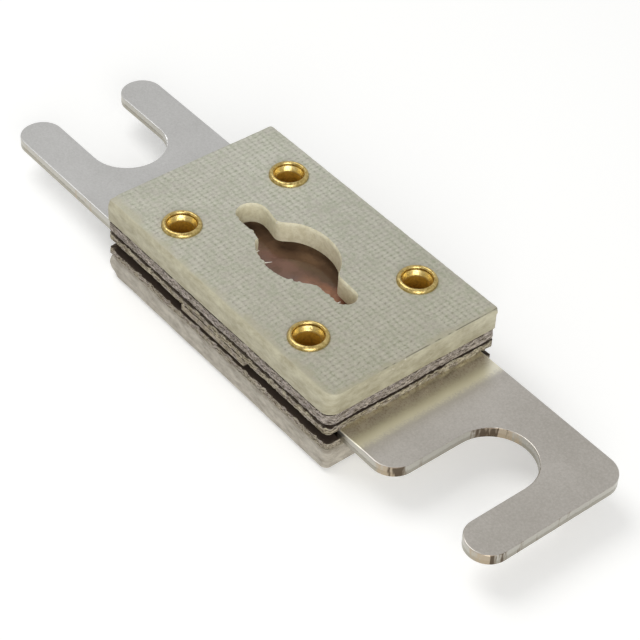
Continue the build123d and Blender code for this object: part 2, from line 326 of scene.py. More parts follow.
    shader = add_node(material, "ShaderNodeBsdfPrincipled", {
        "Base Color": (final, "Result_Color"), "Roughness": 0.5, "IOR": 1.52,
        "Normal": (grain_bump, "Normal")})
    add_node(material, "ShaderNodeOutputMaterial", {"Surface": (shader, "BSDF")})
    return material


def plate_corners(ground_corner):
    """The corner radius of a plate of the body by side: its front right corner is ground rounder."""
    return {(1, -1): ground_corner, (1, 1): BODY_CORNER, (-1, 1): BODY_CORNER, (-1, -1): BODY_CORNER}


def rounded_outline(low, high, corners):
    """Points round a rectangle with round corners, close together on its straight sides too."""
    middle = Vector(((low.x + high.x) / 2, (low.y + high.y) / 2))
    sides = list(corners)
    rounds = []
    for turn, (side_x, side_y) in enumerate(sides):
        radius = corners[side_x, side_y]
        core = Vector((side_x * (high.x - middle.x - radius), side_y * (high.y - middle.y - radius)))
        quarters = [turn - 1 + step / CORNER_STEPS for step in range(CORNER_STEPS + 1)]
        angles = [math.radians(90 * quarter) for quarter in quarters]
        rounds.append([middle + core + radius * Vector((math.cos(a), math.sin(a))) for a in angles])
    points = []
    for turn, corner in enumerate(rounds):
        side_start = corner[-1]
        side_end = rounds[(turn + 1) % len(rounds)][0]
        cuts = max(1, round((side_end - side_start).length / OUTLINE_STEP))
        points += corner + [side_start.lerp(side_end, cut / cuts) for cut in range(1, cuts)]
    return points


def select_only(piece):
    """Make one piece the only selected and active object."""
    bpy.ops.object.select_all(action="DESELECT")
    piece.select_set(True)
    bpy.context.view_layer.objects.active = piece


def face_outwards(piece):
    """Turn the normals of a closed piece outwards."""
    select_only(piece)
    bpy.ops.object.mode_set(mode="EDIT")
    bpy.ops.mesh.select_all(action="SELECT")
    bpy.ops.mesh.normals_make_consistent(inside=False)
    bpy.ops.object.mode_set(mode="OBJECT")


def grow(name, points, levels):
    """A closed prism: a ring of vertices on the given points, extruded up through the levels."""
    bpy.ops.object.select_all(action="DESELECT")
    bpy.ops.mesh.primitive_circle_add(vertices=len(points), fill_type="NGON", location=(0, 0, 0))
    piece = bpy.context.object
    piece.name = name
    piece.data.name = name
    for vertex, point in zip(piece.data.vertices, points):
        vertex.co = (point.x, point.y, levels[0])
    bpy.ops.object.mode_set(mode="EDIT")
    bpy.ops.mesh.select_all(action="SELECT")
    for below, above in zip(levels, levels[1:]):
        bpy.ops.mesh.extrude_region_move(TRANSFORM_OT_translate={"value": (0, 0, above - below)})
    bpy.ops.object.mode_set(mode="OBJECT")
    face_outwards(piece)
    return piece


def draw_in(piece, low, high, corners, setback):
    """Move each vertex of a plate inwards, square to its side, by the setback at its place."""
    middle = (low + high) / 2
    half = (high - low) / 2
    for vertex in piece.data.vertices:
        from_middle = vertex.co - middle
        corner = corners[1 if from_middle.x > 0 else -1, 1 if from_middle.y > 0 else -1]
        radius = max(corner, DRAW_IN_ROOM)
        reach = Vector((half.x - radius, half.y - radius))
        inner = Vector([max(-room, min(room, off)) for room, off in zip(reach, from_middle)])
        outward = (from_middle.to_2d() - inner).normalized()
        vertex.co -= (outward * max(0.0, setback(vertex.co.copy(), outward))).to_3d()
    face_outwards(piece)


def cut(piece, tool):
    """Cut a tool's shape out of a piece, then delete the tool."""
    select_only(piece)
    modifier = piece.modifiers.new("cut", "BOOLEAN")
    modifier.object = tool
    modifier.solver = "EXACT"
    bpy.ops.object.modifier_apply(modifier=modifier.name)
    bpy.data.objects.remove(tool)


def cut_eyelet_holes(piece):
    """Bore the four eyelet holes through a plate."""
    for corner_name in EYELET_CORNERS:
        low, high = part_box(f"eyelet_{corner_name}")
        middle = (low + high) / 2
        bpy.ops.object.select_all(action="DESELECT")
        bpy.ops.mesh.primitive_cylinder_add(vertices=HOLE_SIDES, radius=EYELET_HOLE, depth=DRILL_LENGTH,
                                            location=middle)
        cut(piece, bpy.context.object)


def finish_mesh(piece, material, angle=40):
    """Give a modelled piece its material, smooth its shading and leave its place in its mesh."""
    select_only(piece)
    bpy.ops.object.transform_apply(location=True, rotation=True, scale=True)
    piece.data.materials.clear()
    piece.data.materials.append(material)
    bpy.ops.object.shade_smooth_by_angle(angle=math.radians(angle))


def plate_levels(low, high, rounding, wall_steps):
    """Levels for a plate with its lower and upper edge rounded, and the setback at each."""
    quarter = [(rounding * (1 - math.cos(math.radians(a))), rounding * (1 - math.sin(math.radians(a))))
               for a in (0, 30, 60, 90)]
    lower = [(low.z + rise, back) for rise, back in quarter]
    upper = [(high.z - rise, back) for rise, back in reversed(quarter)]
    span = upper[0][0] - lower[-1][0]
    wall = [(lower[-1][0] + span * step / wall_steps, 0.0) for step in range(1, wall_steps)]
    return lower + wall + upper


def rounding_at(levels, height):
    """How far a plate is drawn in by its rounded edges at one of its levels."""
    return min(levels, key=lambda level: abs(level[0] - height))[1]


low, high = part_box("lower_board")
corners = plate_corners(LOWER_GROUND_CORNER)
steps = plate_levels(low, high, BOARD_ROUNDING, LOWER_WALL_STEPS)
lower_board = grow("lower_board_laminate", rounded_outline(low, high, corners), [z for z, _ in steps])
left_corner = low.to_2d()
board_middle = (low.z + high.z) / 2
half_board = (high.z - low.z) / 2


def lower_board_wear(place, outward):
    """The rounded edges, the slow waver and fine chipping of the saw cut, and the left corner, which
    is broken back above and below its middle."""
    waver = SAW_WAVER * (0.6 + noise.noise(place / (4 * MM)))
    chips = SAW_CHIPS * abs(noise.noise(place / (0.5 * MM)))
    nearness = max(0.0, 1 - (place.to_2d() - left_corner).length / CHIP_REACH)
    broken = CHIP_DEPTH * nearness * ((place.z - board_middle) / half_board) ** 2
    return rounding_at(steps, place.z) + waver + chips + broken


draw_in(lower_board, low, high, corners, lower_board_wear)
cut_eyelet_holes(lower_board)
lower_laminate = woven_laminate("woven_glass_laminate_lower", LOWER_FACE, LOWER_EDGE, LOWER_EDGE_DARKENING)
finish_mesh(lower_board, lower_laminate)
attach(lower_board, "root")
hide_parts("lower_board")

# Fibre sheet under the strip
# A soft grey sheet of pressed fibre, like blotting board, punched to the boards' outline.
# It beds the strip, and its torn edge shows loose fibres and dark pores between them.
FOOT_RISE = 0.06 * MM
FOOT_SETBACK = 0.1 * MM
LIP_ROOT = 0.52 * MM
LIP_BEND = 0.15 * MM
LIP_TIP = 0.08 * MM
LIP_ROUNDING = 0.05 * MM
SHEET_WALL_STEPS = 5
SLOPE_RISE = 0.03 * MM
SLOPE_START = 0.08 * MM
SLOPE_REACH = 0.9 * MM
PUNCH_WAVER = 0.08 * MM
FIBRE_TEAR = 0.22 * MM
LOWER_SHEET_DROP = 0.18 * MM
LOWER_SHEET_COLOURS = ("#584B3D", "#A0947F", "#DDD3BF")
FIBRE_FACE_SHADE = "#3A2F26"
FIBRE_LILAC = "#B4A8A8"


def pressed_fibre(name, colours):
    """Pressed fibre board. It is matt, streaked along its layers in tan and lilac grey, with dark
    pores and pale loose fibres on its torn edge. Its flat faces are painted dark, as painted shade
    in the joints between the sheets, the boards and the strip."""
    material, coordinates, mm = new_material(name)
    level = how_level(material, coordinates)
    layers = add_node(material, "ShaderNodeMapping", {
        "Vector": (mm, "Vector"), "Scale": (0.55, 0.55, 2.4)})
    streaks = add_node(material, "ShaderNodeTexNoise", {
        "Vector": (layers, "Vector"), "Scale": 2.2, "Detail": 7.0, "Roughness": 0.72})
    mottle = add_node(material, "ShaderNodeTexNoise", {
        "Vector": (layers, "Vector"), "Scale": 4.2, "Detail": 4.0, "Roughness": 0.75})
    body_share = add_node(material, "ShaderNodeMapRange", {
        "Value": (streaks, "Fac"), "From Min": 0.42, "From Max": 0.58})
    hue = add_node(material, "ShaderNodeTexNoise", {
        "Vector": (mm, "Vector"), "Scale": 1.1, "Detail": 3.0})
    lilac_share = add_node(material, "ShaderNodeMapRange", {
        "Value": (hue, "Fac"), "From Min": 0.48, "From Max": 0.62, "To Max": 0.45})
    pore_share = add_node(material, "ShaderNodeMapRange", {
        "Value": (mottle, "Fac"), "From Min": 0.4, "From Max": 0.52, "To Min": 1.0, "To Max": 0.0})
    on_face = add_node(material, "ShaderNodeMapRange", {
        "Value": (level, "Value"), "From Min": 0.8, "From Max": 0.97})
    # The flat faces take a dark colour, painted shade in the joints between the sheets, the boards and
    # the strip
    colour = linear(colours[1])
    coats = ((body_share, colours[2]), (lilac_share, FIBRE_LILAC), (pore_share, colours[0]),
             (on_face, FIBRE_FACE_SHADE))
    for share, shade in coats:
        coat = add_node(material, "ShaderNodeMix", {
            "Factor_Float": (share, "Result"), "A_Color": colour,
            "B_Color": linear(shade)}, data_type="RGBA")
        colour = (coat, "Result_Color")
    bump = add_node(material, "ShaderNodeBump", {
        "Height": (mottle, "Fac"), "Strength": 1.0, "Distance": 0.2 * MM})
    streak_bump = add_node(material, "ShaderNodeBump", {
        "Height": (streaks, "Fac"), "Strength": 0.8, "Distance": 0.2 * MM, "Normal": (bump, "Normal")})
    shader = add_node(material, "ShaderNodeBsdfPrincipled", {
        "Base Color": colour, "Roughness": 0.95, "Specular IOR Level": 0.25,
        "Normal": (streak_bump, "Normal")})
    add_node(material, "ShaderNodeOutputMaterial", {"Surface": (shader, "BSDF")})
    return material


def torn_sheet(name, node, ground_corner, lip, drop, extra=None):
    """A punched fibre sheet on a CAD sheet's box, its edge wavering and torn. The punch has pressed
    its upper edge down into a slope, and can have drawn its lower edge into a lip."""
    low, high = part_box(node)
    corners = plate_corners(ground_corner)
    steps = [(low.z, FOOT_SETBACK), (low.z + FOOT_RISE, 0.0)]
    if lip > 0:
        bend = low.z - 0.7 * lip
        steps = [(low.z, LIP_ROOT), (bend, LIP_BEND), (low.z - lip, LIP_TIP),
                 (bend + LIP_ROUNDING, 0.0)]
    wall_top = high.z - drop
    wall_foot = steps[-1][0]
    for step in range(1, SHEET_WALL_STEPS + 1):
        steps.append((wall_foot + (wall_top - wall_foot) * step / SHEET_WALL_STEPS, 0.0))
    steps += [(wall_top + SLOPE_RISE, SLOPE_START), (high.z, SLOPE_REACH)]
    sheet = grow(name, rounded_outline(low, high, corners), [z for z, _ in steps])

    def wear(place, outward):
        """The slope and lip, the punch's slow waver, and the torn fibres."""
        waver = PUNCH_WAVER * (0.5 + noise.noise(place / (3 * MM)))
        torn = FIBRE_TEAR * max(0.0, noise.noise(place / (0.4 * MM)))
        more = extra(place, outward) if extra else 0.0
        return rounding_at(steps, place.z) + waver + torn + more

    draw_in(sheet, low, high, corners, wear)
    cut_eyelet_holes(sheet)
    return sheet


lower_sheet = torn_sheet("lower_fibre_sheet", "lower_sheet", LOWER_GROUND_CORNER, 0.0, LOWER_SHEET_DROP)
finish_mesh(lower_sheet, pressed_fibre("pressed_fibre_lower", LOWER_SHEET_COLOURS), angle=60)
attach(lower_sheet, "root")
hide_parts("lower_sheet")

# Fuse strip
# One stamping of copper, tin plated all over, with an end slot, a side slot and a narrow neck.
# The punch leaves a bright band high on the cut walls and a duller, torn one below it.
TIN_LEFT_LIT = ("#B9B8B5", "#CAC9C7")
TIN_RIGHT_SHADED = ("#ADA8A0", "#C1BCB5")
TIN_BURNISHED = "#B9B6AD"
TIN_SHEARED = "#A39F93"
TIN_CRACK = "#6E685C"
TIN_STACK_SHADE = "#2A211A"
TIN_BODY_REFLECTION = "#F7F3DE"
TARNISH_AND_DARK_REFLECTION = "#43362A"
PALE_TAN_REFLECTION_AND_TARNISH = "#B3A085"
REFLECTION_REACH = (4.5, 3.3)
SPECK_REACH = (3.2, 1.8)
TEAR_RISE = 0.75
FACING_FRONT_RIGHT = (0.751, -0.66, 0.0)
FACING_REAR_RIGHT = (0.66, 0.751, 0.0)
STACK_SHADE_FROM = 0.2
STACK_SHADE_TO = 0.5
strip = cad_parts["fuse_strip"]
strip_low, strip_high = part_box("fuse_strip")
body_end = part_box("upper_board")[1].x


def tin_plate():
    """Satin tin plate on copper. A sandy speckle softens its reflections, the cut walls show bands
    from the punch, and the corners that face the front right carry dark and pale bands, partly brown,
    coppery tarnish and partly painted reflection. The body's reflection beside it, the light and
    shade of its two ends and the shade under the stack are painted too."""
    material, coordinates, mm = new_material("satin_tin_plate")
    level = how_level(material, coordinates)
    body_side = body_end / MM
    apart = add_node(material, "ShaderNodeSeparateXYZ", {"Vector": (mm, "Vector")})
    sand = add_node(material, "ShaderNodeTexNoise", {
        "Vector": (mm, "Vector"), "Scale": 4.5, "Detail": 4.0, "Roughness": 0.75})
    clouds = add_node(material, "ShaderNodeTexNoise", {
        "Vector": (mm, "Vector"), "Scale": 0.14, "Detail": 3.0})
    mixed = add_node(material, "ShaderNodeMath", {
        "Value": (clouds, "Fac"), "Value_001": 0.6,
        "Value_002": (sand, "Fac")}, operation="MULTIPLY_ADD")
    share = add_node(material, "ShaderNodeMapRange", {
        "Value": (mixed, "Value"), "From Min": 0.6, "From Max": 1.0})
    # The left end is painted lighter and the right end darker, as painted light and shade
    ends = []
    for darker, paler in (TIN_LEFT_LIT, TIN_RIGHT_SHADED):
        end = add_node(material, "ShaderNodeMix", {
            "Factor_Float": (share, "Result"), "A_Color": linear(darker),
            "B_Color": linear(paler)}, data_type="RGBA")
        ends.append(end)
    shaded_to_right = add_node(material, "ShaderNodeMapRange", {
        "Value": (apart, "X"), "From Min": -20.0, "From Max": 22.0})
    plate = add_node(material, "ShaderNodeMix", {
        "Factor_Float": (shaded_to_right, "Result"), "A_Color": (ends[0], "Result_Color"),
        "B_Color": (ends[1], "Result_Color")}, data_type="RGBA")

    # The body's reflection is painted on the plate beside it, a pale cream band with pale tan specks
    # nearer the body, all of it painted reflection
    ragged_x = add_node(material, "ShaderNodeMath", {
        "Value": (sand, "Fac"), "Value_001": 1.5, "Value_002": (apart, "X")}, operation="MULTIPLY_ADD")
    reflection_share = add_node(material, "ShaderNodeMapRange", {
        "Value": (ragged_x, "Value"), "From Min": body_side + REFLECTION_REACH[0],
        "From Max": body_side + REFLECTION_REACH[1], "To Max": 0.8}, interpolation_type="SMOOTHSTEP")
    on_right = add_node(material, "ShaderNodeMath", {
        "Value": (apart, "X"), "Value_001": 0.0}, operation="GREATER_THAN")
    reflection_on_right = add_node(material, "ShaderNodeMath", {
        "Value": (reflection_share, "Result"), "Value_001": (on_right, "Value")}, operation="MULTIPLY")
    reflected_top = add_node(material, "ShaderNodeMix", {
        "Factor_Float": (reflection_on_right, "Value"), "A_Color": (plate, "Result_Color"),
        "B_Color": linear(TIN_BODY_REFLECTION)}, data_type="RGBA")
    specks = add_node(material, "ShaderNodeMapRange", {
        "Value": (sand, "Fac"), "From Min": 0.48, "From Max": 0.62, "To Max": 0.55})
    near_body = add_node(material, "ShaderNodeMapRange", {
        "Value": (ragged_x, "Value"), "From Min": body_side + SPECK_REACH[0],
        "From Max": body_side + SPECK_REACH[1]})
    speckled = add_node(material, "ShaderNodeMath", {
        "Value": (near_body, "Result"), "Value_001": (specks, "Result")}, operation="MULTIPLY")
    speck_share = add_node(material, "ShaderNodeMath", {
        "Value": (speckled, "Value"), "Value_001": (on_right, "Value")}, operation="MULTIPLY")
    top = add_node(material, "ShaderNodeMix", {
        "Factor_Float": (speck_share, "Value"), "A_Color": (reflected_top, "Result_Color"),
        "B_Color": linear(PALE_TAN_REFLECTION_AND_TARNISH)}, data_type="RGBA")

    # Cut walls: a bright band, a broken dark line where the metal tore, and a duller band
    tear = add_node(material, "ShaderNodeMath", {
        "Value": (sand, "Fac"), "Value_001": 0.5, "Value_002": (apart, "Z")}, operation="MULTIPLY_ADD")
    tear_level = strip_low.z / MM + TEAR_RISE
    torn = add_node(material, "ShaderNodeMapRange", {
        "Value": (tear, "Value"), "From Min": tear_level + 0.1, "From Max": tear_level - 0.1})
    banded = add_node(material, "ShaderNodeMix", {
        "Factor_Float": (torn, "Result"), "A_Color": linear(TIN_BURNISHED),
        "B_Color": linear(TIN_SHEARED)}, data_type="RGBA")
    off_tear = add_node(material, "ShaderNodeMath", {
        "Value": (tear, "Value"), "Value_001": tear_level}, operation="SUBTRACT")
    off_tear = add_node(material, "ShaderNodeMath", {
        "Value": (off_tear, "Value")}, operation="ABSOLUTE")
    crack = add_node(material, "ShaderNodeMapRange", {
        "Value": (off_tear, "Value"), "From Min": 0.09, "From Max": 0.03, "To Max": 0.6})
    breaks = add_node(material, "ShaderNodeMapRange", {
        "Value": (clouds, "Fac"), "From Min": 0.42, "From Max": 0.5})
    cracked = add_node(material, "ShaderNodeMath", {
        "Value": (crack, "Result"), "Value_001": (breaks, "Result")}, operation="MULTIPLY")
    cut_wall = add_node(material, "ShaderNodeMix", {
        "Factor_Float": (cracked, "Value"), "A_Color": (banded, "Result_Color"),
        "B_Color": linear(TIN_CRACK)}, data_type="RGBA")
    wall = add_node(material, "ShaderNodeMapRange", {
        "Value": (level, "Value"), "From Min": 0.5, "From Max": 0.1})
    walled = add_node(material, "ShaderNodeMix", {
        "Factor_Float": (wall, "Result"), "A_Color": (top, "Result_Color"),
        "B_Color": (cut_wall, "Result_Color")}, data_type="RGBA")

    # The way that a wall faces, seen from above, picks out the corners with dark and pale bands: partly
    # tarnish, partly painted reflection
    front_right = add_node(material, "ShaderNodeVectorMath", {
        "Vector": (coordinates, "Normal"), "Vector_001": FACING_FRONT_RIGHT}, operation="DOT_PRODUCT")
    turned = add_node(material, "ShaderNodeVectorMath", {
        "Vector": (coordinates, "Normal"), "Vector_001": FACING_REAR_RIGHT}, operation="DOT_PRODUCT")
    upright = add_node(material, "ShaderNodeMapping", {
        "Vector": (mm, "Vector"), "Scale": (1.0, 1.0, 0.15)})
    drags = add_node(material, "ShaderNodeTexNoise", {
        "Vector": (upright, "Vector"), "Scale": 1.3, "Detail": 3.0, "Roughness": 0.7})
    blotched = add_node(material, "ShaderNodeMath", {
        "Value": (drags, "Fac"), "Value_001": 1.6,
        "Value_002": (turned, "Value")}, operation="MULTIPLY_ADD")
    ahead = add_node(material, "ShaderNodeMapRange", {
        "Value": (front_right, "Value"), "From Min": 0.5, "From Max": 0.7})
    bounds = []
    for start, end in ((0.2, 0.4), (0.68, 0.8), (1.35, 1.1)):
        bound = add_node(material, "ShaderNodeMapRange", {
            "Value": (blotched, "Value"), "From Min": start, "From Max": end})
        bounds.append(bound)
    pale_from, dark_from, bands_end = bounds
    shares = []
    for first, limit in ((pale_from, 0.7), (dark_from, 0.85)):
        band = add_node(material, "ShaderNodeMath", {
            "Value": (first, "Result"), "Value_001": (bands_end, "Result")}, operation="MULTIPLY")
        band = add_node(material, "ShaderNodeMath", {
            "Value": (band, "Value"), "Value_001": (ahead, "Result")}, operation="MULTIPLY")
        share = add_node(material, "ShaderNodeMath", {
            "Value": (band, "Value"), "Value_001": limit}, operation="MULTIPLY")
        shares.append(share)

    # The walls that the stack covers are painted dark, as painted shade under the stack
    from_middle = add_node(material, "ShaderNodeMath", {"Value": (apart, "X")}, operation="ABSOLUTE")
    under_stack = add_node(material, "ShaderNodeMapRange", {
        "Value": (from_middle, "Value"), "From Min": body_side - STACK_SHADE_FROM,
        "From Max": body_side - STACK_SHADE_TO})
    stack_shade_share = add_node(material, "ShaderNodeMath", {
        "Value": (under_stack, "Result"), "Value_001": (wall, "Result")}, operation="MULTIPLY")
    colour = (walled, "Result_Color")
    coats = ((shares[0], PALE_TAN_REFLECTION_AND_TARNISH), (shares[1], TARNISH_AND_DARK_REFLECTION), (stack_shade_share, TIN_STACK_SHADE))
    for share, shade in coats:
        coat = add_node(material, "ShaderNodeMix", {
            "Factor_Float": (share, "Value"), "A_Color": colour,
            "B_Color": linear(shade)}, data_type="RGBA")
        colour = (coat, "Result_Color")
    bump = add_node(material, "ShaderNodeBump", {
        "Height": (sand, "Fac"), "Strength": 0.3, "Distance": 0.02 * MM})
    shader = add_node(material, "ShaderNodeBsdfPrincipled", {
        "Base Color": colour, "Metallic": 1.0, "Roughness": 0.28, "Normal": (bump, "Normal")})
    add_node(material, "ShaderNodeOutputMaterial", {"Surface": (shader, "BSDF")})
    return material


strip.data.materials.clear()
strip.data.materials.append(tin_plate())

# Fibre fillers
# Two small blocks of the same pressed fibre fill the strip's notches between the sheets.
# The front one shows as a pale bar in the dark gap, level with the sheets' edges.
FILLER_COLOURS = ("#6E6454", "#AA9D88", "#D9CDB5")
filler_material = pressed_fibre("pressed_fibre_filler", FILLER_COLOURS)
for side in ("front", "rear"):
    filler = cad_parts[f"{side}_spacer"]
    filler.data.materials.clear()
    filler.data.materials.append(filler_material)

# Inner fibre sheet
# The paler of the two fibre sheets over the strip, open above the neck. Its punched edge hangs a
# little over the dark gap, lies flat on the strip and the fillers, and slopes less at the right end.
CHAMBER_REACH = 11.1 * MM
CHAMBER_RADIUS = 5.45 * MM
CHAMBER_LEVELS = [4 * MM, 9 * MM]
LEAST_STRAIGHT = 0.01 * MM
INNER_LIP = 0.17 * MM
INNER_SHEET_DROP = 0.27 * MM
LYING_MARGIN = 0.1 * MM
SLOPE_BAND = (0.28 * MM, 0.1 * MM)
FULLER_END = 0.6 * MM
FULLER_RISE = 0.12 * MM
INNER_SHEET_COLOURS = ("#55493A", "#A0947A", "#E2D8BE")


def chamber_tool():
    """The oblong opening under the window, as a tool to cut the sheets with."""
    half = Vector((CHAMBER_REACH, CHAMBER_RADIUS))
    rounds = dict.fromkeys(plate_corners(0), CHAMBER_RADIUS - LEAST_STRAIGHT)
    return grow("chamber_tool", rounded_outline(-half, half, rounds), CHAMBER_LEVELS)


inner_sheet = torn_sheet("inner_fibre_sheet", "upper_inner_sheet", LOWER_GROUND_CORNER, INNER_LIP,
                         INNER_SHEET_DROP)
inner_low, inner_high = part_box("upper_inner_sheet")
filler_low, filler_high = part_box("front_spacer")
for vertex in inner_sheet.data.vertices:
    over_strip = abs(vertex.co.y) < strip_high.y + LYING_MARGIN
    over_filler = filler_low.x - LYING_MARGIN < vertex.co.x < filler_high.x + LYING_MARGIN
    if over_strip or over_filler:
        vertex.co.z = max(vertex.co.z, inner_low.z)
    on_slope = inner_high.z - SLOPE_BAND[0] < vertex.co.z < inner_high.z - SLOPE_BAND[1]
    if on_slope and vertex.co.x > inner_high.x - FULLER_END:
        vertex.co.z += FULLER_RISE
cut(inner_sheet, chamber_tool())
finish_mesh(inner_sheet, pressed_fibre("pressed_fibre_inner", INNER_SHEET_COLOURS), angle=60)
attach(inner_sheet, "root")
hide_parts("upper_inner_sheet")

# Window sheet
# A thin sheet of brown mica closes the window and guards the neck, riveted between the sheets.
# It is half clear with a smooth cleaved face, which mirrors the surround but for the window's far wall.
MICA_UMBER = "#745A45"
MICA_WALL_LIGHT = "#A28262"
MICA_MAUVE = "#825F54"
MICA_SMOKE = "#4C3A2C"
MICA_RED_LIGHT = "#B07A5C"


def brown_mica():
    """Brown mica. Clouds of umber and mauve, with darker stains that end at the edges of flakes, lie
    under a smooth, softly mirroring surface. It is painted paler by the far wall, as painted light
    against the wall's shade, smokier on the right, and painted red near the window's front right
    edge, as painted light shining through it."""
    material, _, mm = new_material("brown_mica")
    clouds = add_node(material, "ShaderNodeTexNoise", {
        "Vector": (mm, "Vector"), "Scale": 0.35, "Detail": 5.0})
    apart = add_node(material, "ShaderNodeSeparateXYZ", {"Vector": (mm, "Vector")})
    leant = add_node(material, "ShaderNodeMath", {
        "Value": (apart, "X"), "Value_001": -0.22, "Value_002": (apart, "Y")}, operation="MULTIPLY_ADD")
    ragged = add_node(material, "ShaderNodeMath", {
        "Value": (clouds, "Fac"), "Value_001": 3.0,
        "Value_002": (leant, "Value")}, operation="MULTIPLY_ADD")
    mauve_share = add_node(material, "ShaderNodeMapRange", {
        "Value": (ragged, "Value"), "From Min": 3.8, "From Max": 2.6}, interpolation_type="SMOOTHSTEP")
    # Paler by the far wall: painted light against the wall's shade
    wall_light_share = add_node(material, "ShaderNodeMapRange", {
        "Value": (ragged, "Value"), "From Min": 4.5, "From Max": 6.2})
    # Red near the front right edge: painted light shining through the mica
    front = add_node(material, "ShaderNodeMapRange", {
        "Value": (ragged, "Value"), "From Min": 3.2, "From Max": 2.0, "To Max": 0.85})
    right = add_node(material, "ShaderNodeMapRange", {
        "Value": (apart, "X"), "From Min": -0.4, "From Max": 1.6})
    red_light_share = add_node(material, "ShaderNodeMath", {
        "Value": (front, "Result"), "Value_001": (right, "Result")}, operation="MULTIPLY")
    smoke_share = add_node(material, "ShaderNodeMapRange", {
        "Value": (apart, "X"), "From Min": -2.0, "From Max": 0.5, "To Max": 0.4})
    flakes = add_node(material, "ShaderNodeTexNoise", {
        "Vector": (mm, "Vector"), "Scale": 0.8, "Detail": 4.0})
    stain_share = add_node(material, "ShaderNodeMapRange", {
        "Value": (flakes, "Fac"), "From Min": 0.5, "From Max": 0.56, "To Max": 0.22})
    colour = linear(MICA_UMBER)
    coats = (((wall_light_share, "Result"), MICA_WALL_LIGHT), ((mauve_share, "Result"), MICA_MAUVE),
             ((smoke_share, "Result"), MICA_SMOKE), ((red_light_share, "Value"), MICA_RED_LIGHT),
             ((stain_share, "Result"), MICA_SMOKE))
    for share, shade in coats:
        coat = add_node(material, "ShaderNodeMix", {
            "Factor_Float": share, "A_Color": colour, "B_Color": linear(shade)}, data_type="RGBA")
        colour = (coat, "Result_Color")
    bump = add_node(material, "ShaderNodeBump", {
        "Height": (flakes, "Fac"), "Strength": 0.35, "Distance": 0.08 * MM})
    shader = add_node(material, "ShaderNodeBsdfPrincipled", {
        "Base Color": colour, "Roughness": 0.14, "IOR": 1.6, "Normal": (bump, "Normal")})
    add_node(material, "ShaderNodeOutputMaterial", {"Surface": (shader, "BSDF")})
    return material


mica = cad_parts["window_sheet"]
mica.data.materials.clear()
mica.data.materials.append(brown_mica())

# Outer fibre sheet
# The thicker, darker sheet under the upper board, with the coarsest torn edge of the stack.
# Its right end is punched a little short, so a dark line shows there under the board.
UPPER_GROUND_CORNER = 1.4 * MM
OUTER_LIP = 0.34 * MM
OUTER_SHEET_DROP = 0.36 * MM
SHORT_AT_FOOT = 0.02
SHORTER_AT_TOP = 0.2
OUTER_SHEET_COLOURS = ("#4E4438", "#9F9485", "#E3D7CB")
outer_low, outer_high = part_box("upper_outer_sheet")


def short_right_end(place, outward):
    """Draw the right end in a little, most at its upper edge."""
    rise = (place.z - outer_low.z) / (outer_high.z - outer_low.z)
    return max(0.0, outward.x) * (SHORT_AT_FOOT + SHORTER_AT_TOP * max(0.0, rise) ** 3) * MM


outer_sheet = torn_sheet("outer_fibre_sheet", "upper_outer_sheet", UPPER_GROUND_CORNER, OUTER_LIP,
                         OUTER_SHEET_DROP, short_right_end)
cut(outer_sheet, chamber_tool())
finish_mesh(outer_sheet, pressed_fibre("pressed_fibre_outer", OUTER_SHEET_COLOURS), angle=60)
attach(outer_sheet, "root")
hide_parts("upper_outer_sheet")

# Upper board
# The same woven laminate as the lower board, with the window milled through it by hand: an oval hole
# crossed by a slot, ragged on its near side. The saw has left a small burr round the lower edge.
UPPER_FACE = ("#A5A992", "#B3AEA3", "#D4D3C4")
UPPER_EDGE = ("#9C9479", "#C5C0A6")
UPPER_EDGE_DARKENING = (9.8, 7.9)
HOLE_RADII = Vector((5.2 * MM, 3.95 * MM))
LEFT_END = Vector((-7.9 * MM, 0.0))
LEFT_RADIUS = 1.7 * MM
RIGHT_END = Vector((8.15 * MM, -0.35 * MM))
RIGHT_RADIUS = 1.25 * MM
SHOULDER_BLEND = 0.8 * MM
PINCH = Vector((-5.6 * MM, 1.7 * MM))
PINCH_DEPTH = 0.3 * MM
PINCH_REACH = 0.9 * MM
WINDOW_POINTS = 300
FINE_POINTS = 2000
SEARCH_SPAN = (0.5 * MM, 12 * MM)
HALVINGS = 30
PROBE = 0.01 * MM
RAGGED_FROM = 0.2 * MM
RAGGED_OVER = 1.2 * MM
TUFT_SIZE = 0.6 * MM
TUFT_LENGTH = 0.5
STUBBLE_SIZE = 0.22 * MM
STUBBLE_LENGTH = 0.14
STUBBLE_ALL_ROUND = 0.04
RIM_HEIGHT = 0.15 * MM
RIM_LOSS = (0.1, 0.2)
LEVELS_FROM_BOTTOM = (-1, 0.6, 1.5)
LEVELS_FROM_TOP = (-0.5, -0.2, -0.05, 0.2)
UPPER_WALL_STEPS = 10
UPPER_WAVER = 0.03 * MM
UPPER_CHIPS = 0.06 * MM
WORN_DEPTH = 1.0 * MM
WORN_SETBACK = 0.38 * MM
SPUR_Y = 10.7 * MM
SPUR_ZONE = (0.3 * MM, 0.5 * MM)
SPUR_LENGTH = 0.3 * MM
SPUR_WIDTH = 0.2 * MM
BURR = 0.13 * MM
BURR_FORM = ((0.0, 0.42 * MM), (0.7, 0.12 * MM), (1.0, 0.05 * MM), (0.6, 0.0))


def from_window(place):
    """How far a point lies outside the window's outline, and less than nothing inside it."""
    share = max(0.0, min(1.0, (place.x - LEFT_END.x) / (RIGHT_END.x - LEFT_END.x)))
    spine = LEFT_END.lerp(RIGHT_END, share)
    slot = (place - spine).length - (LEFT_RADIUS + (RIGHT_RADIUS - LEFT_RADIUS) * share)
    spread = Vector((place.x / HOLE_RADII.x, place.y / HOLE_RADII.y)).length
    hole = (spread - 1) * place.length / max(spread, 0.01)
    blend = max(SHOULDER_BLEND - abs(slot - hole), 0.0) / SHOULDER_BLEND
    pinch = PINCH_DEPTH * math.exp(-((place - PINCH).length / PINCH_REACH) ** 2)
    return min(slot, hole) - blend * blend * SHOULDER_BLEND / 4 + pinch


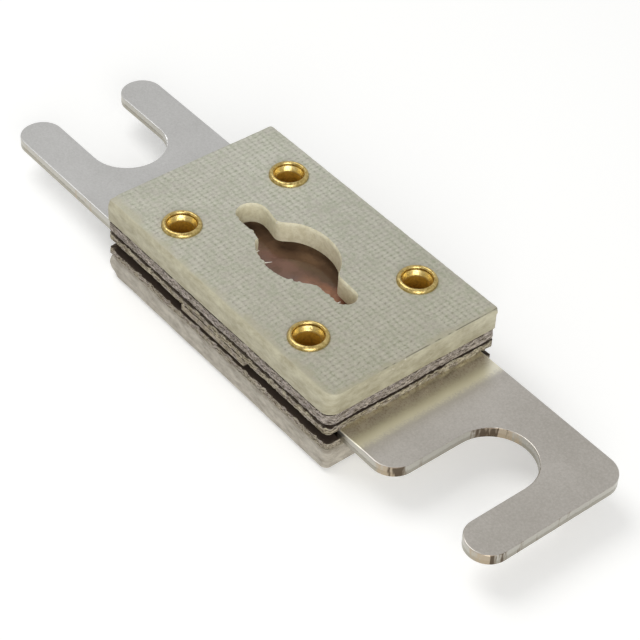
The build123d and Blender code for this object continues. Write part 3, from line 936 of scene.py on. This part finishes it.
def window_point(angle):
    """The window's outline in one direction from its middle, found by halving."""
    direction = Vector((math.cos(angle), math.sin(angle)))
    near, far = SEARCH_SPAN
    for _ in range(HALVINGS):
        middle = (near + far) / 2
        near, far = (middle, far) if from_window(direction * middle) < 0 else (near, middle)
    return direction * near


def window_outline():
    """Evenly spaced points round the window."""
    fine = [window_point(2 * math.pi * i / FINE_POINTS) for i in range(FINE_POINTS)]
    lengths = [0.0]
    for a, b in zip(fine, fine[1:] + fine[:1]):
        lengths.append(lengths[-1] + (b - a).length)
    points = []
    at = 0
    for i in range(WINDOW_POINTS):
        wanted = lengths[-1] * i / WINDOW_POINTS
        while lengths[at + 1] < wanted:
            at += 1
        points.append(fine[at])
    return points


def away_from_window(place):
    """The direction out of the window, square to its outline."""
    along_x = Vector((PROBE, 0.0))
    along_y = Vector((0.0, PROBE))
    return Vector((from_window(place + along_x) - from_window(place - along_x),
                   from_window(place + along_y) - from_window(place - along_y))).normalized()


def window_raggedness(place):
    """How far torn glass stands into the window: most along its near side. The rim at the top is
    broken away instead."""
    near_side = max(0.0, min(1.0, (-place.y - RAGGED_FROM) / RAGGED_OVER))
    tufts = max(0.0, noise.noise(Vector((place.x, place.y, 0)) / TUFT_SIZE) - 0.05)
    stubble = abs(noise.noise(place / STUBBLE_SIZE))
    torn = near_side * (TUFT_LENGTH * tufts + STUBBLE_LENGTH * stubble) * MM
    torn += STUBBLE_ALL_ROUND * stubble * MM
    near_top = max(0.0, min(1.0, (place.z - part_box("upper_board")[1].z) / RIM_HEIGHT + 1))
    return torn - near_top * (RIM_LOSS[0] + RIM_LOSS[1] * stubble) * MM


low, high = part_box("upper_board")
corners = plate_corners(UPPER_GROUND_CORNER)
steps = [(low.z - share * BURR, setback) for share, setback in BURR_FORM]
steps += plate_levels(low, high, BOARD_ROUNDING, UPPER_WALL_STEPS)[4:]
upper_board = grow("upper_board_laminate", rounded_outline(low, high, corners), [z for z, _ in steps])


def upper_board_wear(place, outward):
    """The burr under the edge, the rounded top edge, rubbed rounder in front, and the saw's slow
    waver and fine chips."""
    depth = (high.z - place.z) / WORN_DEPTH
    rubbed = WORN_SETBACK * max(0.0, -outward.y) * max(0.0, 1 - depth) ** 2
    waver = UPPER_WAVER * (0.5 + noise.noise(place / (4 * MM)))
    chips = UPPER_CHIPS * max(0.0, noise.noise(place / (0.5 * MM)))
    return rounding_at(steps, place.z) + rubbed + waver + chips


draw_in(upper_board, low, high, corners, upper_board_wear)
for vertex in upper_board.data.vertices:
    if vertex.co.x > high.x - SPUR_ZONE[0] and vertex.co.z > high.z - SPUR_ZONE[1]:
        vertex.co.x += SPUR_LENGTH * math.exp(-((vertex.co.y - SPUR_Y) / SPUR_WIDTH) ** 2)
cut_eyelet_holes(upper_board)
window_levels = [low.z + rise * MM for rise in LEVELS_FROM_BOTTOM]
window_levels += [high.z + rise * MM for rise in LEVELS_FROM_TOP]
window_tool = grow("window_tool", window_outline(), window_levels)
for vertex in window_tool.data.vertices:
    outward = away_from_window(vertex.co.to_2d())
    vertex.co -= (outward * window_raggedness(vertex.co.copy())).to_3d()
cut(upper_board, window_tool)
upper_laminate = woven_laminate("woven_glass_laminate_upper", UPPER_FACE, UPPER_EDGE, UPPER_EDGE_DARKENING)
finish_mesh(upper_board, upper_laminate)
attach(upper_board, "root")
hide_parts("upper_board")

# Torn glass round the window
# A few stiff white ends of glass yarn, left by the milling cutter, stand into the window.
# Each is a thin tapered spike whose root sinks into the board just under its top.
YARN = ("#CFC8BC", "#F2EEE6")
YARN_ROOT_DROP = 0.25 * MM
YARN_TIP_DROP = 0.12 * MM
YARN_TAPER = 0.3

# The root, the tip and the radius of each end, in millimetres
YARN_ENDS = (((-1.05, -3.75), (-0.55, -3.05), 0.07), ((-5.6, 1.65), (-5.15, 1.2), 0.11),
             ((2.3, -3.75), (2.5, -3.4), 0.06), ((-2.9, -3.3), (-2.75, -3.0), 0.06),
             ((8.3, -1.7), (8.45, -1.2), 0.09))


def bare_glass():
    """Bare glass yarn with no resin on it, which looks white and slightly silky."""
    material, _, mm = new_material("bare_glass_yarn")
    strands = add_node(material, "ShaderNodeTexNoise", {
        "Vector": (mm, "Vector"), "Scale": 6.0, "Detail": 2.0})
    colour = add_node(material, "ShaderNodeMix", {
        "Factor_Float": (strands, "Fac"), "A_Color": linear(YARN[0]),
        "B_Color": linear(YARN[1])}, data_type="RGBA")
    shader = add_node(material, "ShaderNodeBsdfPrincipled", {
        "Base Color": (colour, "Result_Color"), "Roughness": 0.6, "IOR": 1.5})
    add_node(material, "ShaderNodeOutputMaterial", {"Surface": (shader, "BSDF")})
    return material


glass = bare_glass()
for number, (root, tip, radius) in enumerate(YARN_ENDS, start=1):
    foot = Vector((*root, 0)) * MM
    head = Vector((*tip, 0)) * MM
    foot.z = high.z - YARN_ROOT_DROP
    head.z = high.z - YARN_TIP_DROP
    bpy.ops.object.select_all(action="DESELECT")
    bpy.ops.mesh.primitive_cone_add(vertices=8, radius1=radius * MM, radius2=YARN_TAPER * radius * MM,
                                    depth=(head - foot).length, location=(foot + head) / 2,
                                    rotation=(head - foot).to_track_quat("Z", "Y").to_euler())
    spike = bpy.context.object
    spike.name = f"torn_glass_{number}"
    finish_mesh(spike, glass)
    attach(spike, "root")

# Eyelets
# Four eyelets of thin brass tube clamp the whole stack. Each is belled out and rolled over on the
# upper board, and clinched on the lower one, with fine marks from the setting tool on its rim.
BORE_RADIUS = 1.35 * MM
BARREL_RADIUS = 1.65 * MM
RIM_RADIUS = 0.36 * MM
FUNNEL_RADIUS = 1.64 * MM
FUNNEL_FOOT = 0.5 * MM
CREST_DROP = 0.38 * MM
RIM_SEAT = 0.02 * MM
RIM_TUCK = 0.03 * MM
CLINCH_TUCK = 0.05 * MM
CLINCH_STEPS = 8
FUNNEL_STEPS = 8
CREST_STEPS = 10
SPIN_STEPS = 72
WELD = 0.001 * MM
BRIGHT_FOOT = 0.5
THROAT_RISE = 0.1 * MM
BORE_SHADE_DROP = 0.03 * MM
BRASS = ("#9A834B", "#CCB679")
BRASS_BORE_SHADE = ("#97701C", "#B88A2C")
BRASS_FUNNEL_LIGHT = "#DEC98A"


def section_arc(centre, radii, start, end, count):
    """Points along an oval arc of the eyelet's section, as radius from its axis and level."""
    angles = [math.radians(start + (end - start) * i / count) for i in range(count + 1)]
    return [(centre[0] + radii[0] * math.cos(a), centre[1] + radii[1] * math.sin(a)) for a in angles]


def rolled_brass(throat_level, bore_shade_level):
    """Rolled brass. The rim is bright, with fine dents from the setting tool. The funnel below the
    first level is painted a paler gold, as painted light in the hollow, and down the barrel, below the
    second, the metal is painted brown, rougher and not metallic, as painted shade deep in the bore."""
    material, _, mm = new_material("rolled_brass")
    mottle = add_node(material, "ShaderNodeTexNoise", {
        "Vector": (mm, "Vector"), "Scale": 3.0, "Detail": 4.0, "Roughness": 0.65})
    mottle_share = add_node(material, "ShaderNodeMapRange", {
        "Value": (mottle, "Fac"), "From Min": 0.36, "From Max": 0.62})
    bright = add_node(material, "ShaderNodeMix", {
        "Factor_Float": (mottle_share, "Result"), "A_Color": linear(BRASS[0]),
        "B_Color": linear(BRASS[1])}, data_type="RGBA")
    # A brown, rougher, non-metallic copy of the brass for the bore, painted shade deep in the hole
    shaded_bore = add_node(material, "ShaderNodeMix", {
        "Factor_Float": (mottle_share, "Result"), "A_Color": linear(BRASS_BORE_SHADE[0]),
        "B_Color": linear(BRASS_BORE_SHADE[1])}, data_type="RGBA")
    apart = add_node(material, "ShaderNodeSeparateXYZ", {"Vector": (mm, "Vector")})
    above_foot = add_node(material, "ShaderNodeMath", {
        "Value": (apart, "Z"), "Value_001": BRIGHT_FOOT}, operation="GREATER_THAN")
    shares = []
    for top, blur, most in ((bore_shade_level / MM, 0.1, 1.0), (throat_level / MM, 0.05, 0.9)):
        below = add_node(material, "ShaderNodeMapRange", {
            "Value": (apart, "Z"), "From Min": top + blur, "From Max": top - 0.1,
            "To Max": most}, interpolation_type="SMOOTHSTEP")
        share = add_node(material, "ShaderNodeMath", {
            "Value": (below, "Result"), "Value_001": (above_foot, "Value")}, operation="MULTIPLY")
        shares.append(share)
    bore_shade_share, funnel_light_share = shares
    # The funnel takes a paler gold, painted light in the hollow
    lit_funnel = add_node(material, "ShaderNodeMix", {
        "Factor_Float": (funnel_light_share, "Value"), "A_Color": (bright, "Result_Color"),
        "B_Color": linear(BRASS_FUNNEL_LIGHT)}, data_type="RGBA")
    colour = add_node(material, "ShaderNodeMix", {
        "Factor_Float": (bore_shade_share, "Value"), "A_Color": (lit_funnel, "Result_Color"),
        "B_Color": (shaded_bore, "Result_Color")}, data_type="RGBA")
    # Below the second level the bore loses its metal, as painted shade deep in the bore
    metallic = add_node(material, "ShaderNodeMapRange", {
        "Value": (bore_shade_share, "Value"), "To Min": 1.0, "To Max": 0.0})
    rough = add_node(material, "ShaderNodeMapRange", {
        "Value": (bore_shade_share, "Value"), "To Min": 0.28, "To Max": 0.5})
    bump = add_node(material, "ShaderNodeBump", {
        "Height": (mottle, "Fac"), "Strength": 0.6, "Distance": 0.05 * MM})
    shader = add_node(material, "ShaderNodeBsdfPrincipled", {
        "Base Color": (colour, "Result_Color"), "Metallic": (metallic, "Result"),
        "Roughness": (rough, "Result"), "Normal": (bump, "Normal")})
    add_node(material, "ShaderNodeOutputMaterial", {"Surface": (shader, "BSDF")})
    return material


board_top = high.z
board_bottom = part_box("lower_board")[0].z
brass = rolled_brass(board_top + THROAT_RISE, board_top - FUNNEL_FOOT - BORE_SHADE_DROP)
for corner_name in EYELET_CORNERS:
    low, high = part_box(f"eyelet_{corner_name}")
    middle = (low + high) / 2
    outer = (high.x - low.x) / 2
    crest = outer - RIM_RADIUS
    clinch_crest = crest - CLINCH_TUCK
    clinch_bell = clinch_crest - BORE_RADIUS
    section = section_arc((clinch_crest, low.z + clinch_bell), (clinch_bell, clinch_bell), 270, 180,
                          CLINCH_STEPS)
    foot = board_top - FUNNEL_FOOT
    mouth = high.z - CREST_DROP
    for step in range(FUNNEL_STEPS):
        section.append((BORE_RADIUS + (FUNNEL_RADIUS - BORE_RADIUS) * step / FUNNEL_STEPS,
                        foot + (mouth - foot) * step / FUNNEL_STEPS))
    section += section_arc((crest, mouth), (crest - FUNNEL_RADIUS, CREST_DROP), 180, 90, CREST_STEPS)
    rim_rise = high.z - board_top - RIM_SEAT
    section += section_arc((crest, board_top + RIM_SEAT), (RIM_RADIUS, rim_rise), 80, 0, CREST_STEPS)
    section += [(outer - RIM_TUCK, board_top), (BARREL_RADIUS, board_top),
                (BARREL_RADIUS, board_bottom)]
    clinch_rise = board_bottom - low.z
    section += section_arc((clinch_crest, board_bottom), (RIM_RADIUS, clinch_rise), 0, -80,
                           CLINCH_STEPS)
    bpy.ops.object.select_all(action="DESELECT")
    bpy.ops.mesh.primitive_circle_add(vertices=len(section), fill_type="NOTHING", location=(0, 0, 0))
    eyelet = bpy.context.object
    eyelet.name = f"eyelet_{corner_name}_brass"
    for vertex, (radius, height) in zip(eyelet.data.vertices, section):
        vertex.co = (middle.x + radius, middle.y, height)
    bpy.ops.object.mode_set(mode="EDIT")
    bpy.ops.mesh.select_all(action="SELECT")
    bpy.ops.mesh.spin(steps=SPIN_STEPS, angle=2 * math.pi, center=middle, axis=(0, 0, 1))
    bpy.ops.mesh.select_all(action="SELECT")
    bpy.ops.mesh.remove_doubles(threshold=WELD)
    bpy.ops.mesh.normals_make_consistent(inside=False)
    bpy.ops.object.mode_set(mode="OBJECT")
    finish_mesh(eyelet, brass, angle=50)
    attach(eyelet, "root")
    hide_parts(f"eyelet_{corner_name}")

# Studio
# The fuse lies on a white table under two broad soft lights and an even white surround.
# The table and the surround read as white, and the table keeps the fuse's soft shadow.
TABLE_SIZE = 3.0
TABLE_DROP = 0.02 * MM
TABLE_COLOUR = "#F2F2F0"
TABLE_GLOW = 0.3
SURROUND_LIGHT = 0.45

# The name, place, size and power of each lamp
LAMPS = (("overhead_light", (-0.17, -0.05, 0.34), 0.26, 0.52),
         ("front_light", (0.44, -0.26, 0.2), 0.4, 1.65))


def seen_directly(owner):
    """1 for rays of the camera, and for those that it sees mirrored or through glass."""
    path = add_node(owner, "ShaderNodeLightPath")
    seen = (path, "Is Camera Ray")
    for kind in ("Is Glossy Ray", "Is Transmission Ray"):
        either = add_node(owner, "ShaderNodeMath", {
            "Value": seen, "Value_001": (path, kind)}, operation="MAXIMUM")
        seen = (either, "Value")
    return seen


bpy.ops.object.select_all(action="DESELECT")
bpy.ops.mesh.primitive_plane_add(size=TABLE_SIZE, location=(0, 0, -TABLE_DROP))
floor = bpy.context.object
floor.name = "table"
floor_material = bpy.data.materials.new("white_table")
floor_material.use_nodes = True
floor_material.node_tree.nodes.clear()
paper = add_node(floor_material, "ShaderNodeBsdfDiffuse", {"Color": linear(TABLE_COLOUR)})
lift = add_node(floor_material, "ShaderNodeEmission", {"Strength": TABLE_GLOW})
both = add_node(floor_material, "ShaderNodeAddShader", {
    "Shader": (paper, "BSDF"), "Shader_001": (lift, "Emission")})
surface = add_node(floor_material, "ShaderNodeMixShader", {
    "Fac": seen_directly(floor_material), "Shader": (paper, "BSDF"), "Shader_001": (both, "Shader")})
add_node(floor_material, "ShaderNodeOutputMaterial", {"Surface": (surface, "Shader")})
floor.data.materials.append(floor_material)

world = bpy.data.worlds.new("white_surround")
bpy.context.scene.world = world
world.use_nodes = True
world.node_tree.nodes.clear()
strength = add_node(world, "ShaderNodeMapRange", {
    "Value": seen_directly(world), "To Min": SURROUND_LIGHT, "To Max": 1.0})
background = add_node(world, "ShaderNodeBackground", {"Strength": (strength, "Result")})
add_node(world, "ShaderNodeOutputWorld", {"Surface": (background, "Background")})

for lamp_name, place, size, energy in LAMPS:
    lamp_data = bpy.data.lights.new(lamp_name, "AREA")
    lamp_data.shape = "DISK"
    lamp_data.size = size
    lamp_data.energy = energy
    lamp = bpy.data.objects.new(lamp_name, lamp_data)
    bpy.context.scene.collection.objects.link(lamp)
    lamp.location = place
    lamp.rotation_euler = (-lamp.location).to_track_quat("-Z", "Y").to_euler()

# Camera
# A long lens looks down from the front right, as in the photograph.
CAMERA_AZIMUTH = 48.731
CAMERA_ELEVATION = 42.537
CAMERA_ROLL = 3.424
CAMERA_DISTANCE = 227.327 * MM
CAMERA_TARGET = Vector((-0.487, 4.009, -1.765)) * MM
CAMERA_LENS = 116.82

camera_data = bpy.data.cameras.new("camera")
camera_data.sensor_width = 36
camera_data.lens = CAMERA_LENS
camera_data.clip_start = 0.01
camera = bpy.data.objects.new("camera", camera_data)
bpy.context.scene.collection.objects.link(camera)
turned = Matrix.Rotation(math.radians(CAMERA_AZIMUTH), 4, "Z")
tipped = Matrix.Rotation(math.radians(90 - CAMERA_ELEVATION), 4, "X")
rolled = Matrix.Rotation(math.radians(CAMERA_ROLL), 4, "Z")
look = turned @ tipped @ rolled
camera.matrix_world = Matrix.Translation(CAMERA_TARGET + look.col[2].to_3d() * CAMERA_DISTANCE) @ look
bpy.context.scene.camera = camera

bpy.context.scene.view_settings.view_transform = "Standard"
